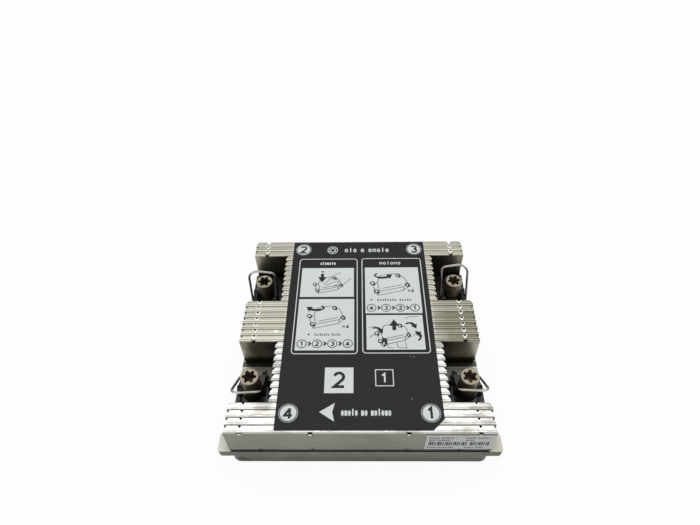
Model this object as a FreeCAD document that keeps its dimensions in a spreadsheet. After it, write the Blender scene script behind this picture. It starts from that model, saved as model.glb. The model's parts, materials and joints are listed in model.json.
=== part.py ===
import FreeCAD, Part
import math
import os

import Sketcher

# Passive heatsink for a server processor: a nickel-plated base plate, a stack of folded sheet
# fins with four notches, and in each notch a captive nut in a plastic retainer with a wire bail.
# The origin is the centre of the four nuts on the contact face: +X right, +Y back, +Z up.

DRIVING_SIZES = {
    # socket side: where the four nuts stand
    "nut_spacing_x": 94.0,
    "nut_spacing_y": 53.4,
    # base plate
    "block_height": 6.5,
    "plate_height": 4.3,
    "base_margin": 1.0,
    "block_corner": 3.8,
    "block_edge": 0.7,
    "ear_reach": 4.5,
    "ear_depth": 8.0,
    "ear_chamfer": 1.2,
    "base_bore_radius": 3.5,
    # fin stack
    "fin_pitch": 3.2456,
    "fin_sheet": 0.4,
    "fin_height": 17.1,
    "fin_overhang": 6.0,
    "notch_inset": 10.3,
    "stack_shift": 1.72,
    "fin_gap": 0.05,
    "bend_top": 0.75,
    "bend_foot": 1.4,
    "flange_cut_long": 1.9,
    "flange_cut_in": 1.2,
    # interlocks between neighbouring fins
    "lock_from_end": 6.3,
    "lock_inner": 19.1,
    "lock_foot_from_end": 12.7,
    "lock_width": 2.2,
    "lock_notch": 1.3,
    "lock_dip": 1.1,
    # nuts
    "thread_radius": 1.7,
    "thread_stop": 1.0,
    "nut_lift": 1.2,
    "nut_clearance": 0.08,
    "nut_seat_gap": 0.1,
    "nut_flange_radius": 4.55,
    "nut_flange_height": 1.1,
    "nut_head_radius": 4.0,
    "nut_edge": 0.25,
    "nut_drop": 3.8,
    "star_tip_radius": 3.1,
    "star_depth": 4.6,
    "star_lobe_radius": 0.82,
    "star_lobe_place": 3.02,
    # retainers
    "collar_radius": 5.0,
    "collar_height": 4.3,
    "collar_bore": 4.35,
    "recess_clearance": 0.4,
    "foot_height": 2.2,
    "foot_out": 7.0,
    "foot_gap": 0.6,
    "foot_side_clear": 1.5,
    "ear_face": 5.45,
    "ear_wall": 1.5,
    "ear_half_width": 2.3,
    "ear_round": 2.2,
    "boss_face": 6.4,
    "boss_height": 5.6,
    "boss_reach": 1.0,
    "boss_slope": 0.9,
    "horn_reach": 8.6,
    "horn_width": 1.3,
    "horn_height": 3.7,
    "horn_place": 5.0,
    # wire bails
    "pivot_height": 4.2,
    "pivot_set": 4.8,
    "wire_radius": 0.55,
    "pivot_clearance": 0.06,
    "leg_out": 6.35,
    "leg_in": 6.35,
    "stub_out": 4.6,
    "stub_in": 4.6,
    "reach_out": 18.4,
    "reach_in": 17.5,
    "corner_out": 4.4,
    "corner_in": 2.2,
    "lean_front_left": 49.5,
    "lean_front_right": 47.0,
    "lean_back_left": 10.5,
    "lean_back_right": 28.0,
    # labels
    "label_sheet": 0.15,
    "label_side": 3.4,
    "label_front": 1.26,
    "label_back": 0.5,
    "label_corner": 4.7,
    "side_label_width": 27.1,
    "side_label_top": 1.4,
    "side_label_height": 12.6,
}

FRONT_ROWS = 4
NOTCH_ROWS = 9
MIDDLE_ROWS = 7
BACK_ROWS = 3

doc = FreeCAD.newDocument("heatsink")
sheet = doc.addObject("Spreadsheet::Sheet", "Sizes")
for line, (alias, value) in enumerate(DRIVING_SIZES.items(), start=1):
    sheet.set(f"A{line}", alias.replace("_", " "))
    sheet.set(f"B{line}", str(value))
    sheet.setAlias(f"B{line}", alias)

# The rows from front to back: long fins in three groups, short ones beside the notches.
ROW_IS_LONG = (
    [True] * FRONT_ROWS
    + [False] * NOTCH_ROWS
    + [True] * MIDDLE_ROWS
    + [False] * NOTCH_ROWS
    + [True] * BACK_ROWS
)
ROWS = len(ROW_IS_LONG)

# Places shared by several pieces, as sheet cells worked out from the driving sizes.
WORKED_OUT = {
    "base_height": "block_height + plate_height",
    "fin_length": "nut_spacing_x + 2 * fin_overhang",
    "short_length": "nut_spacing_x - 2 * notch_inset",
    "stack_depth": f"{ROWS} * fin_pitch",
    "stack_front": f"-{ROWS} * fin_pitch / 2 - stack_shift",
    "base_half": "nut_spacing_x / 2 + fin_overhang + base_margin",
    "fin_reach": "fin_pitch - fin_gap",
    "nut_top": "fin_height - nut_drop",
    "shank_radius": "base_bore_radius - nut_clearance",
    "recess_radius": "nut_flange_radius + recess_clearance",
    "recess_height": "nut_seat_gap + nut_flange_height + recess_clearance",
    "pivot_hole_radius": "wire_radius + pivot_clearance",
    "lock_outer": "nut_spacing_x / 2 + fin_overhang - lock_from_end",
    "lock_foot_outer": "nut_spacing_x / 2 + fin_overhang - lock_foot_from_end",
}
for line, (alias, formula) in enumerate(WORKED_OUT.items(), start=len(DRIVING_SIZES) + 2):
    sheet.set(f"A{line}", alias.replace("_", " "))
    sheet.set(f"B{line}", f"={formula}")
    sheet.setAlias(f"B{line}", alias)
doc.recompute()


def cell(alias, factor=1):
    """The expression that reads one size, times a plain factor such as a side's sign."""
    return f"{factor} * Sizes.{alias}"


def new_body(label, place):
    """An empty body whose place is bound to the sheet."""
    body = doc.addObject("PartDesign::Body", label)
    body.Label = label
    for axis, expression in zip("xyz", place):
        body.setExpression(f"Placement.Base.{axis}", expression)
    return body


def plane_of(body, role):
    """One of the body's own origin planes."""
    for feature in body.Origin.OriginFeatures:
        if feature.Role == role:
            return feature
    raise ValueError(role)


def new_sketch(body, name, role, lift="0"):
    """A sketch on one of the body's own planes, lifted along the plane's normal."""
    sketch = body.newObject("Sketcher::SketchObject", name)
    sketch.AttachmentSupport = [(plane_of(body, role), "")]
    sketch.MapMode = "FlatFace"
    sketch.setExpression("AttachmentOffset.Base.z", lift)
    return sketch


def bind(sketch, constraint, expression):
    """Adds a constraint and drives it by an expression."""
    index = sketch.addConstraint(constraint)
    sketch.setExpression(f"Constraints[{index}]", expression)


def place_point(sketch, geometry, end, across, up):
    """Holds a point at two expressions, measured from the sketch's origin."""
    bind(sketch, Sketcher.Constraint("DistanceX", -1, 1, geometry, end, 1.0), across)
    bind(sketch, Sketcher.Constraint("DistanceY", -1, 1, geometry, end, 1.0), up)


def draw_outline(sketch, corners):
    """Adds a closed outline of straight lines whose corners are pairs of expressions."""
    first = sketch.GeometryCount
    count = len(corners)
    turn = 2 * math.pi / count
    ring = [FreeCAD.Vector(9 * math.cos(turn * i), 9 * math.sin(turn * i), 0) for i in range(count)]
    for i in range(count):
        sketch.addGeometry(Part.LineSegment(ring[i], ring[(i + 1) % count]), False)
    for i in range(count):
        after = first + (i + 1) % count
        sketch.addConstraint(Sketcher.Constraint("Coincident", first + i, 2, after, 1))
    for i, (across, up) in enumerate(corners):
        place_point(sketch, first + i, 1, across, up)


def draw_circle(sketch, across, up, radius):
    """Adds a circle whose centre and radius are expressions."""
    circle = Part.Circle(FreeCAD.Vector(0, 0, 0), FreeCAD.Vector(0, 0, 1), 1.0)
    index = sketch.addGeometry(circle, False)
    place_point(sketch, index, 3, across, up)
    bind(sketch, Sketcher.Constraint("Radius", index, 1.0), radius)


def rectangle(left, right, low, high):
    """The four corners of a rectangle."""
    return [(left, low), (right, low), (right, high), (left, high)]


def pad(body, sketch, length, middle=False, backwards=False):
    """Pads a sketch by an expression."""
    feature = body.newObject("PartDesign::Pad", f"{sketch.Name}Pad")
    feature.Profile = sketch
    feature.setExpression("Length", length)
    feature.Midplane = middle
    feature.Reversed = backwards
    return feature


def pocket(body, sketch, length=None, backwards=False):
    """Cuts a sketch to a depth, or both ways through everything where no depth is given."""
    feature = body.newObject("PartDesign::Pocket", f"{sketch.Name}Cut")
    feature.Profile = sketch
    if length is None:
        feature.Type = "ThroughAll"
        feature.Midplane = True
    else:
        feature.setExpression("Length", length)
    feature.Reversed = backwards
    return feature


def edges_where(feature, test):
    """The names of a feature's straight edges that pass a test on both end points."""
    names = []
    for number, edge in enumerate(feature.Shape.Edges, start=1):
        if edge.Curve.TypeId != "Part::GeomLine":
            continue
        ends = [vertex.Point for vertex in edge.Vertexes]
        if len(ends) == 2 and test(ends[0], ends[1]):
            names.append(f"Edge{number}")
    return names


def dress(body, kind, base, test, size, radius):
    """Fillets or chamfers the straight edges of a feature that pass a test."""
    doc.recompute()
    feature = body.newObject(f"PartDesign::{kind}", f"{body.Name}{kind}")
    feature.Base = (base, edges_where(base, test))
    feature.setExpression(size, radius)
    body.Tip = feature
    return feature


def near(first, second):
    """True where two lengths agree."""
    return abs(first - second) < 0.001


def size(alias):
    """The number that a sheet cell holds now."""
    return float(getattr(sheet, alias))


def build_base():
    """The base: a thick contact block, a wider plate on it with two front ears, four bores."""
    body = new_body("base_plate", ("0", "0", "0"))
    front = cell("stack_front")
    back = "Sizes.stack_front + Sizes.stack_depth"
    half = cell("base_half")
    less_half = cell("base_half", -1)

    block_sketch = new_sketch(body, "BlockOutline", "XY_Plane")
    draw_outline(block_sketch, rectangle(less_half, half, front, back))
    block = pad(body, block_sketch, cell("block_height"))
    corners = dress(
        body,
        "Fillet",
        block,
        lambda a, b: near(a.x, b.x) and near(a.y, b.y),
        "Radius",
        cell("block_corner"),
    )
    underside = dress(
        body,
        "Chamfer",
        corners,
        lambda a, b: near(a.z, 0) and near(b.z, 0),
        "Size",
        cell("block_edge"),
    )
    underside.Label = "underside_edge"

    plate_sketch = new_sketch(body, "PlateOutline", "XY_Plane", cell("block_height"))
    ear = "Sizes.base_half + Sizes.ear_reach"
    less_ear = "-(Sizes.base_half + Sizes.ear_reach)"
    ear_back = "Sizes.stack_front + Sizes.ear_depth"
    plate_corners = [
        (less_ear, front),
        (ear, front),
        (ear, ear_back),
        (half, ear_back),
        (half, back),
        (less_half, back),
        (less_half, ear_back),
        (less_ear, ear_back),
    ]
    draw_outline(plate_sketch, plate_corners)
    plate = pad(body, plate_sketch, cell("plate_height"))
    ear_side = size("base_half") + size("ear_reach")
    low = size("block_height")

    def is_ear_underside(a, b):
        return near(abs(a.x), ear_side) and near(abs(b.x), ear_side) and near(a.z, low) and near(b.z, low)

    def is_ear_corner(a, b):
        return near(abs(a.x), ear_side) and near(a.x, b.x) and near(a.y, b.y)

    eased = dress(body, "Chamfer", plate, is_ear_underside, "Size", cell("ear_chamfer"))
    dress(body, "Fillet", eased, is_ear_corner, "Radius", cell("ear_chamfer"))

    bores = new_sketch(body, "NutBores", "XY_Plane")
    for across in (-0.5, 0.5):
        for along in (-0.5, 0.5):
            draw_circle(
                bores,
                cell("nut_spacing_x", across),
                cell("nut_spacing_y", along),
                cell("base_bore_radius"),
            )
    pocket(body, bores)
    return body


def draw_triangle_row(sketch, places, tip, edge):
    """Adds one triangle of the interlocks' width at each place across, from an edge to its tip."""
    for place in places:
        corners = [
            (f"{place} - Sizes.lock_width / 2", edge),
            (f"{place} + Sizes.lock_width / 2", edge),
            (place, tip),
        ]
        draw_outline(sketch, corners)


def build_fin(row):
    """One folded fin: a standing sheet with a flange bent back at its top and at its foot."""
    number = row + 1
    is_long = ROW_IS_LONG[row]
    length = "fin_length" if is_long else "short_length"
    leads_group = is_long and (row == 0 or not ROW_IS_LONG[row - 1])
    body = new_body(
        f"fin_{number:02d}",
        ("0", f"Sizes.stack_front + {row} * Sizes.fin_pitch", cell("base_height")),
    )

    section = new_sketch(body, f"Fold{number}", "YZ_Plane")
    reach = cell("fin_reach")
    sheet_size = cell("fin_sheet")
    top = cell("fin_height")
    under_top = "Sizes.fin_height - Sizes.fin_sheet"
    fold_corners = [
        ("0", "0"),
        (reach, "0"),
        (reach, sheet_size),
        (sheet_size, sheet_size),
        (sheet_size, under_top),
        (reach, under_top),
        (reach, top),
        ("0", top),
    ]
    draw_outline(section, fold_corners)
    folded = pad(body, section, cell(length), middle=True)
    thick = size("fin_sheet")
    height = size("fin_height")

    def along_x(a, b, y, z):
        return near(a.y, y) and near(b.y, y) and near(a.z, z) and near(b.z, z)

    bends = [
        (0, height, cell("bend_top")),
        (thick, height - thick, "Sizes.bend_top - Sizes.fin_sheet"),
        (0, 0, cell("bend_foot")),
        (thick, thick, "Sizes.bend_foot - Sizes.fin_sheet"),
    ]
    bent = folded
    for y, z, radius in bends:
        bent = dress(body, "Fillet", bent, lambda a, b, y=y, z=z: along_x(a, b, y, z), "Radius", radius)

    ends = new_sketch(body, f"FlangeEnds{number}", "XY_Plane")
    for side in (-1, 1):
        end = cell(length, side / 2)
        inner = f"{end} - {side} * Sizes.flange_cut_in"
        cut_start = "Sizes.fin_reach - Sizes.flange_cut_long"
        draw_outline(ends, [(inner, reach), (end, cut_start), (end, reach)])
    last = pocket(body, ends)

    if is_long:
        outer_places = [cell("lock_outer", -1), cell("lock_outer")]
        inner_places = [cell("lock_inner", -1), cell("lock_inner")]
        hooks = new_sketch(body, f"LockHooks{number}", "XY_Plane", top)
        draw_triangle_row(hooks, outer_places, "Sizes.fin_reach - Sizes.lock_notch", reach)
        last = pocket(body, hooks, "2 * Sizes.fin_sheet")
    if leads_group:
        dips = new_sketch(body, f"LockDips{number}", "XZ_Plane")
        dip_places = outer_places + inner_places if row == 0 else outer_places
        draw_triangle_row(dips, dip_places, "Sizes.fin_height - Sizes.lock_dip", top)
        if row == 0:
            foot_places = [cell("lock_foot_outer", -1), cell("lock_foot_outer")] + inner_places
            draw_triangle_row(dips, foot_places, "Sizes.bend_foot + Sizes.lock_dip / 2", "0")
        last = pocket(body, dips, "Sizes.bend_foot")
    body.Tip = last
    return body


def build_nut(name, side, end, turn):
    """A captive nut: threaded shank, retaining flange and a head with a six-lobe socket."""
    place = (cell("nut_spacing_x", side / 2), cell("nut_spacing_y", end / 2), cell("base_height"))
    body = new_body(f"nut_{name}", place)
    body.Placement.Rotation = FreeCAD.Rotation(FreeCAD.Vector(0, 0, 1), turn)
    profile = new_sketch(body, f"NutProfile_{name}", "XZ_Plane")
    low = "Sizes.nut_lift - Sizes.base_height"
    flange_low = cell("nut_seat_gap")
    flange_high = "Sizes.nut_seat_gap + Sizes.nut_flange_height"
    profile_corners = [
        (cell("thread_radius"), low),
        ("Sizes.shank_radius - Sizes.nut_edge", low),
        (cell("shank_radius"), f"{low} + Sizes.nut_edge"),
        (cell("shank_radius"), flange_low),
        (cell("nut_flange_radius"), flange_low),
        (cell("nut_flange_radius"), flange_high),
        (cell("nut_head_radius"), flange_high),
        (cell("nut_head_radius"), "Sizes.nut_top - Sizes.nut_edge"),
        ("Sizes.nut_head_radius - Sizes.nut_edge", cell("nut_top")),
        ("0", cell("nut_top")),
        ("0", cell("thread_stop", -1)),
        (cell("thread_radius"), cell("thread_stop", -1)),
    ]
    draw_outline(profile, profile_corners)
    turned = body.newObject("PartDesign::Revolution", f"NutTurned_{name}")
    turned.Profile = profile
    turned.ReferenceAxis = (profile, ["V_Axis"])
    turned.Angle = 360

    well = new_sketch(body, f"StarWell_{name}", "XY_Plane", cell("nut_top"))
    draw_circle(well, "0", "0", cell("star_tip_radius"))
    pocket(body, well, cell("star_depth"))

    lobe = new_sketch(body, f"StarLobe_{name}", "XY_Plane", "Sizes.nut_top - Sizes.star_depth")
    half_step = 30
    draw_circle(
        lobe,
        f"Sizes.star_lobe_place * cos({half_step} deg)",
        f"Sizes.star_lobe_place * sin({half_step} deg)",
        cell("star_lobe_radius"),
    )
    lobe_pad = pad(body, lobe, cell("star_depth"))
    lobes = body.newObject("PartDesign::PolarPattern", f"StarLobes_{name}")
    lobes.Originals = [lobe_pad]
    lobes.Axis = (lobe, ["N_Axis"])
    lobes.Angle = 360
    lobes.Occurrences = 6
    body.Tip = lobes
    return body


def build_retainer(name, side, end, wall_row):
    """The plastic retainer: foot, collar round the nut, two pivot walls, a boss and a horn."""
    nut_y = cell("nut_spacing_y", end / 2)
    place = (cell("nut_spacing_x", side / 2), nut_y, cell("base_height"))
    body = new_body(f"retainer_{name}", place)
    inward = -side
    toward = -end
    wall = f"Sizes.stack_front + {wall_row} * Sizes.fin_pitch + {toward} * Sizes.foot_gap - {nut_y}"
    inner_edge = f"{inward} * (Sizes.notch_inset - Sizes.foot_side_clear)"
    ear_end = f"{toward} * (Sizes.pivot_set + Sizes.ear_half_width)"
    ear_start = cell("ear_half_width", end)
    ear_top = "Sizes.pivot_height + Sizes.ear_half_width"

    ears = None
    for part, way in (("Left", -1), ("Right", 1)):
        lift = "-Sizes.ear_face" if way < 0 else "Sizes.ear_face - Sizes.ear_wall"
        ear = new_sketch(body, f"Ear{part}_{name}", "YZ_Plane", lift)
        draw_outline(ear, rectangle(ear_start, ear_end, "0", ear_top))
        if ears is None:
            foot = new_sketch(body, f"Foot_{name}", "XY_Plane")
            foot_corners = [
                (cell("foot_out", side), wall),
                (inner_edge, wall),
                (inner_edge, cell("ear_half_width", toward)),
                (cell("ear_face", inward), ear_end),
                (cell("ear_face", side), ear_end),
                (cell("foot_out", side), cell("ear_half_width", toward)),
            ]
            draw_outline(foot, foot_corners)
            pad(body, foot, cell("foot_height"))
        ears = pad(body, ear, cell("ear_wall"))
    top = size("pivot_height") + size("ear_half_width")

    def is_ear_top(a, b):
        return near(a.z, top) and near(b.z, top) and near(a.y, b.y)

    dress(body, "Fillet", ears, is_ear_top, "Radius", cell("ear_round"))

    boss_lift = "-Sizes.boss_face" if side < 0 else "Sizes.ear_face - Sizes.ear_wall / 2"
    boss = new_sketch(body, f"Boss_{name}", "YZ_Plane", boss_lift)
    slope = "Sizes.boss_slope"
    boss_corners = [
        (ear_start, "0"),
        (cell("boss_reach", toward), "0"),
        (cell("boss_reach", toward), f"Sizes.boss_height - {slope}"),
        (f"{toward} * (Sizes.boss_reach - {slope})", cell("boss_height")),
        (f"{end} * (Sizes.ear_half_width - {slope})", cell("boss_height")),
        (ear_start, f"Sizes.boss_height - {slope}"),
    ]
    draw_outline(boss, boss_corners)
    pad(body, boss, "Sizes.boss_face - Sizes.ear_face + Sizes.ear_wall / 2")

    collar = new_sketch(body, f"Collar_{name}", "XY_Plane")
    draw_circle(collar, "0", "0", cell("collar_radius"))
    pad(body, collar, cell("collar_height"))

    horn = new_sketch(body, f"Horn_{name}", "XY_Plane")
    horn_outer = f"{inward} * (Sizes.horn_place + Sizes.horn_width / 2)"
    horn_inner = f"{inward} * (Sizes.horn_place - Sizes.horn_width / 2)"
    horn_corners = [
        (f"{inward} * (Sizes.horn_place - Sizes.horn_width)", cell("ear_half_width", toward)),
        (f"{inward} * (Sizes.horn_place + Sizes.horn_width)", cell("ear_half_width", toward)),
        (horn_outer, cell("horn_reach", toward)),
        (horn_inner, cell("horn_reach", toward)),
    ]
    draw_outline(horn, horn_corners)
    horn_pad = pad(body, horn, cell("horn_height"))
    tip_y = size("horn_reach")

    def is_horn_tip(a, b):
        return near(abs(a.y), tip_y) and near(abs(b.y), tip_y) and near(a.x, b.x)

    dress(body, "Fillet", horn_pad, is_horn_tip, "Radius", "Sizes.horn_width / 2.5")

    nut_bore = new_sketch(body, f"NutBore_{name}", "XY_Plane")
    draw_circle(nut_bore, "0", "0", cell("collar_bore"))
    pocket(body, nut_bore)
    recess = new_sketch(body, f"FlangeRecess_{name}", "XY_Plane")
    draw_circle(recess, "0", "0", cell("recess_radius"))
    pocket(body, recess, cell("recess_height"), backwards=True)
    pivots = new_sketch(body, f"PivotHoles_{name}", "YZ_Plane")
    draw_circle(pivots, cell("pivot_set", toward), cell("pivot_height"), cell("pivot_hole_radius"))
    pocket(body, pivots)
    return body


def draw_bail(sketch, side):
    """The bail's centre line: stub, leg, top bar, leg, stub, with the two top corners rounded."""
    knots = [
        (-side * size("stub_in"), 0),
        (-side * size("leg_in"), 0),
        (-side * size("leg_in"), size("reach_in")),
        (side * size("leg_out"), size("reach_out")),
        (side * size("leg_out"), 0),
        (side * size("stub_out"), 0),
    ]
    bends = [None, "corner_in", "corner_out", None]
    points = [FreeCAD.Vector(x, y, 0) for x, y in knots]
    starts = [points[0]]
    ends = []
    arcs = []
    for before, knot, after, bend in zip(points, points[1:], points[2:], bends):
        if bend is None:
            ends.append(knot)
            starts.append(knot)
            arcs.append(None)
            continue
        back = (before - knot).normalize()
        ahead = (after - knot).normalize()
        half_angle = back.getAngle(ahead) / 2
        radius = size(bend)
        tangent = radius / math.tan(half_angle)
        centre = knot + (back + ahead).normalize() * (radius / math.sin(half_angle))
        middle = centre - (back + ahead).normalize() * radius
        ends.append(knot + back * tangent)
        starts.append(knot + ahead * tangent)
        turns_left = (knot - before).cross(after - knot).z > 0
        arcs.append((Part.Arc(ends[-1], middle, starts[-1]), bend, (1, 2) if turns_left else (2, 1)))
    ends.append(points[-1])

    lines = []
    for start, stop in zip(starts, ends):
        lines.append(sketch.addGeometry(Part.LineSegment(start, stop), False))
    for number, bent in enumerate(arcs):
        if bent is None:
            sketch.addConstraint(Sketcher.Constraint("Coincident", lines[number], 2, lines[number + 1], 1))
            continue
        arc, bend, (near_end, far_end) = bent
        index = sketch.addGeometry(arc, False)
        sketch.addConstraint(Sketcher.Constraint("Tangent", lines[number], 2, index, near_end))
        sketch.addConstraint(Sketcher.Constraint("Tangent", index, far_end, lines[number + 1], 1))
        bind(sketch, Sketcher.Constraint("Radius", index, size(bend)), cell(bend))
    stub_in, leg_in, bar, leg_out, stub_out = lines
    for level in (stub_in, stub_out):
        sketch.addConstraint(Sketcher.Constraint("Horizontal", level))
    for upright in (leg_in, leg_out):
        sketch.addConstraint(Sketcher.Constraint("Vertical", upright))
    place_point(sketch, stub_in, 1, cell("stub_in", -side), "0")
    place_point(sketch, stub_out, 2, cell("stub_out", side), "0")
    across = Sketcher.Constraint("DistanceX", -1, 1, leg_in, 1, -side * size("leg_in"))
    bind(sketch, across, cell("leg_in", -side))
    across = Sketcher.Constraint("DistanceX", -1, 1, leg_out, 1, side * size("leg_out"))
    bind(sketch, across, cell("leg_out", side))
    for geometry, end, reach in ((bar, 1, "reach_in"), (bar, 2, "reach_out")):
        up = Sketcher.Constraint("DistanceY", -1, 1, geometry, end, size(reach))
        bind(sketch, up, cell(reach))


def build_bail(name, side, end, lean):
    """The steel wire bail: it hinges in the retainer's walls and holds the nut upright."""
    place = (
        cell("nut_spacing_x", side / 2),
        f"{cell('nut_spacing_y', end / 2)} + {cell('pivot_set', -end)}",
        "Sizes.base_height + Sizes.pivot_height",
    )
    body = new_body(f"tilt_wire_{name}", place)
    # each pair leans outwards, the front two over the front edge and the back two over the back
    body.Placement.Rotation = FreeCAD.Rotation(FreeCAD.Vector(-end, 0, 0), size(lean))
    body.setExpression("Placement.Rotation.Angle", cell(lean))

    spine = new_sketch(body, f"BailLine_{name}", "XZ_Plane")
    draw_bail(spine, side)
    profile = new_sketch(body, f"WireSection_{name}", "YZ_Plane", cell("stub_in", -side))
    draw_circle(profile, "0", "0", cell("wire_radius"))
    wire = body.newObject("PartDesign::AdditivePipe", f"Wire_{name}")
    wire.Profile = profile
    wire.Spine = spine
    wire.Mode = "Standard"
    wire.Transition = "Right corner"
    body.Tip = wire
    return body


def build_top_label():
    """The printed label on the fins' tops, with its front right corner cut off."""
    place = ("0", cell("stack_front"), "Sizes.base_height + Sizes.fin_height")
    body = new_body("instruction_label", place)
    outline = new_sketch(body, "LabelOutline", "XY_Plane")
    half = "(Sizes.short_length / 2 - Sizes.label_side)"
    front = cell("label_front")
    back = "Sizes.stack_depth - Sizes.label_back"
    label_corners = [
        (f"-{half}", front),
        (f"{half} - Sizes.label_corner", front),
        (half, "Sizes.label_front + Sizes.label_corner"),
        (half, back),
        (f"-{half}", back),
    ]
    draw_outline(outline, label_corners)
    pad(body, outline, cell("label_sheet"))
    return body


def build_side_label():
    """The small label at the right end of the front fin's face."""
    place = ("Sizes.fin_length / 2", cell("stack_front"), "Sizes.base_height + Sizes.fin_height")
    body = new_body("side_label", place)
    outline = new_sketch(body, "SideLabelOutline", "XZ_Plane")
    low = "-(Sizes.side_label_top + Sizes.side_label_height)"
    draw_outline(outline, rectangle(cell("side_label_width", -1), "0", low, cell("side_label_top", -1)))
    pad(body, outline, cell("label_sheet"))
    return body


# The four corners: name, side (-1 left), end (-1 front), the row at whose front face the notch's
# outer wall stands, the bail's lean and the angle at which the nut's star happens to stand.
CORNERS = [
    ("front_left", -1, -1, FRONT_ROWS, "lean_front_left", 0),
    ("front_right", 1, -1, FRONT_ROWS, "lean_front_right", 25),
    ("back_left", -1, 1, ROWS - BACK_ROWS, "lean_back_left", 4),
    ("back_right", 1, 1, ROWS - BACK_ROWS, "lean_back_right", 8),
]

subparts = [build_base()]
for row in range(ROWS):
    subparts.append(build_fin(row))
for name, side, end, wall_row, lean, turn in CORNERS:
    subparts.append(build_nut(name, side, end, turn))
    subparts.append(build_retainer(name, side, end, wall_row))
    subparts.append(build_bail(name, side, end, lean))
subparts.append(build_top_label())
subparts.append(build_side_label())
doc.recompute()

for item in doc.Objects:
    if "Invalid" in item.State or "Error" in item.State:
        raise RuntimeError(f"{item.Name} failed: {item.State}")
for subpart in subparts:
    if subpart.Shape.isNull() or not subpart.Shape.isValid():
        raise RuntimeError(f"{subpart.Label} has no valid shape")
    if len(subpart.Shape.Solids) != 1:
        raise RuntimeError(f"{subpart.Label} holds {len(subpart.Shape.Solids)} solids")

os.makedirs("parts", exist_ok=True)
for subpart in subparts:
    subpart.Shape.exportStep(f"parts/{subpart.Label}.step")
    box = subpart.Shape.BoundBox
    print(
        f"{subpart.Label:20s} volume {subpart.Shape.Volume:10.2f} "
        f"x {box.XMin:7.2f} {box.XMax:7.2f} y {box.YMin:7.2f} {box.YMax:7.2f} z {box.ZMin:6.2f} {box.ZMax:6.2f}"
    )
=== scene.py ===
"""The looks of the passive heatsink: camera, light, materials, the labels' print and small marks."""

import json
import math

import bpy
from mathutils import Matrix, Vector

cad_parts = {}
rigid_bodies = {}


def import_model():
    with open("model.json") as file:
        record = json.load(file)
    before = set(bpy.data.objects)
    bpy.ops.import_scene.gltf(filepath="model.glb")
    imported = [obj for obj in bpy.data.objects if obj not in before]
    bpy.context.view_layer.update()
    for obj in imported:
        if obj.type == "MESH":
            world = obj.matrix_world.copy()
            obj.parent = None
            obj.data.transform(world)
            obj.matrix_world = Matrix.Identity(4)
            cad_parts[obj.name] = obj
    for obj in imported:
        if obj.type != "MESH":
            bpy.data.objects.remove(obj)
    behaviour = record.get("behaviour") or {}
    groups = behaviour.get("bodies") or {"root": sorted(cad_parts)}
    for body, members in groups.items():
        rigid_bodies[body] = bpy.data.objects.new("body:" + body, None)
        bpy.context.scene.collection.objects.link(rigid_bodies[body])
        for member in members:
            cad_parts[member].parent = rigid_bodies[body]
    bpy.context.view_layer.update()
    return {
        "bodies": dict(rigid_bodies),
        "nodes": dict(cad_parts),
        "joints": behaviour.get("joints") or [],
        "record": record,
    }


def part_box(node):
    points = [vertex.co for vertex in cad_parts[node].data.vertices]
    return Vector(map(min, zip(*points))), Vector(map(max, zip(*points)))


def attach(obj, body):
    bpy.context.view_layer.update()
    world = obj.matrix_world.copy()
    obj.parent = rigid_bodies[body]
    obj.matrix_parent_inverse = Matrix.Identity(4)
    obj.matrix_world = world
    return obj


MM = 0.001

# The fin stack: rows are counted from the front, and a wall closes the stack behind each notch.
FIN_PITCH = 3.2456 * MM
ROW_COUNT = 32
FRONT_ROWS = 4
MIDDLE_ROWS_END = 20
WALL_ROWS = (13, 29)

# Places across the part, from its middle
NUT_ACROSS = 47.0 * MM
LOCK_PLACES = (-46.7 * MM, 46.7 * MM)
INNER_LOCK = 19.1 * MM
FOOT_LOCK = 40.3 * MM
LABEL_EDGE = 33.3 * MM

# Two spots on the fin tops with their middle and half sizes, across and along: a painted highlight on a dent
# and a bent corner painted dark as shade; and the scuff on the front.
DENT_HIGHLIGHT = ((-37.2 * MM, -5.9 * MM), (1.3 * MM, 0.6 * MM))
BENT_CORNER = ((52.6 * MM, 49.6 * MM), (0.8 * MM, 0.45 * MM))
SCUFF_ACROSS = -49.0 * MM
SCUFF_UP = 3.4 * MM

# Thin shapes lie in layers, and the shapes of one layer differ in level so that none fights another.
LAYER = 0.02 * MM
INK_STEP = 0.003 * MM
INK_LEVELS = 5

# The photograph's view: the camera stands in front of the part and above it.
CAMERA_PLACE = (0.285 * MM, -138.377 * MM, 217.018 * MM)
CAMERA_PITCH = 47.377
CAMERA_YAW = -1.536
CAMERA_ROLL = -1.456
CAMERA_LENS = 26.33

# Colours. A pair holds the two tones between which a surface varies.
SHADOW = (0.012, 0.009, 0.006, 1)
WHITE = (1, 1, 1, 1)
CREAM_TOPS = ((0.67, 0.65, 0.54, 1), (0.23, 0.22, 0.155, 1))
HIGHLIGHT_TOPS = ((0.79, 0.78, 0.745, 1), (0.38, 0.37, 0.33, 1))
TOP_LIGHT = (0.82, 0.81, 0.74, 1)
TOP_SEAM = (0.075, 0.065, 0.04, 1)
TOP_END_SHADE = (0.03, 0.025, 0.018, 1)
TOP_SPOT_HIGHLIGHT = (1.0, 1.0, 0.99, 1)
SHADED_FRONT_SHEET = ((0.262, 0.260, 0.205, 1), (0.215, 0.213, 0.166, 1))
FIN_FOOT_SHADOW = (0.006, 0.004, 0.003, 1)
NOTCH_WALL = ((0.50, 0.47, 0.38, 1), (0.30, 0.265, 0.19, 1))
NOTCH_FOOT_SHADE = (0.05, 0.04, 0.026, 1)
NOTCH_TIPS_SHADE = (0.03, 0.024, 0.015, 1)
BASE_LEVEL = ((0.63, 0.62, 0.555, 1), (0.48, 0.47, 0.405, 1))
SHADED_BASE_FRONT = ((0.150, 0.147, 0.110, 1), (0.118, 0.115, 0.086, 1))
SHADED_BASE_SIDES = ((0.30, 0.295, 0.24, 1), (0.24, 0.235, 0.19, 1))
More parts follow.
